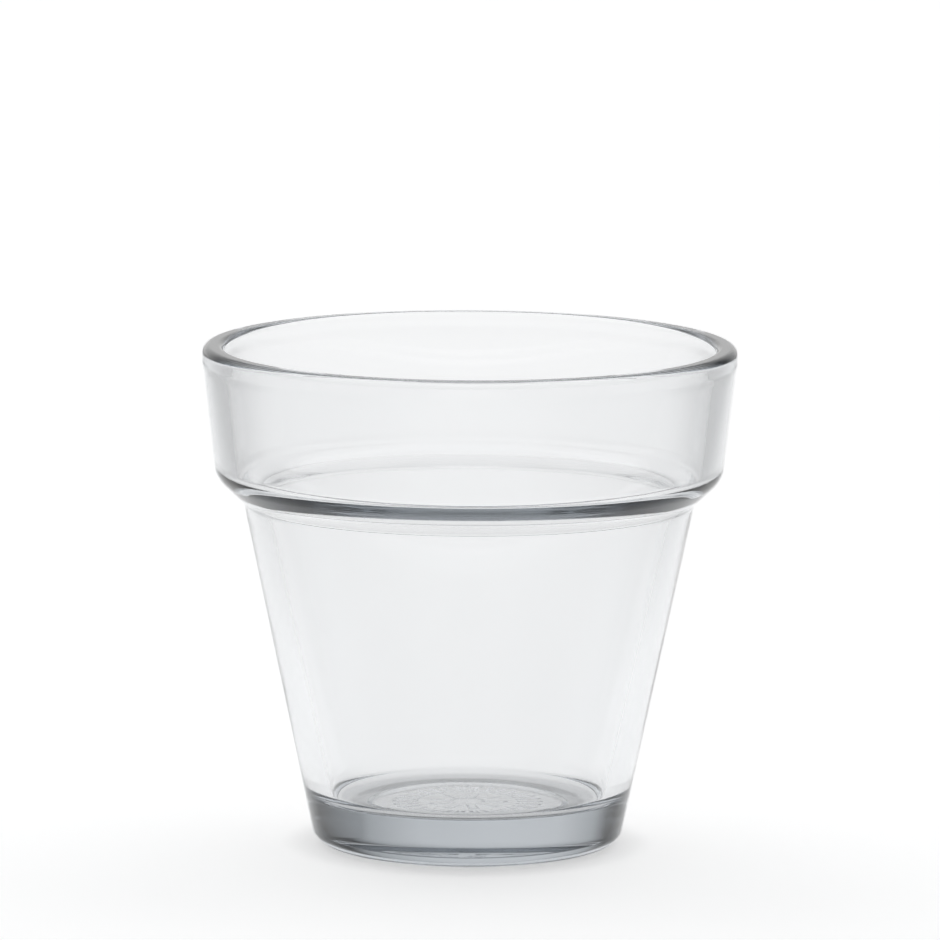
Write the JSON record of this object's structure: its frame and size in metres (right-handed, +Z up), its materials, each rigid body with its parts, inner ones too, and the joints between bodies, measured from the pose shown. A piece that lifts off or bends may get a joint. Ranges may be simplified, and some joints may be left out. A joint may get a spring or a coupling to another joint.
{
  "type": "verrine glass",
  "caption": "Clear one-piece glass in flower-pot form: thick base, tapering bowl, sloping shoulder and wide collar with a rounded rim, for serving drinks and desserts.",
  "frame": {"origin": "on the glass's axis, at the plane of the flat ring that it stands on", "axes": "+Z up along the axis of revolution, from the base to the rim; X and Y are free because the glass is round, and -Y faces the viewer of the picture"},
  "size_m": [0.086, 0.086, 0.0812],
  "materials": {
    "clear_glass": "polished clear pressed glass, faint cool grey-green tint"
  },
  "bodies": {
    "root": {"glass_body": "clear_glass"}
  },
  "joints": []
}
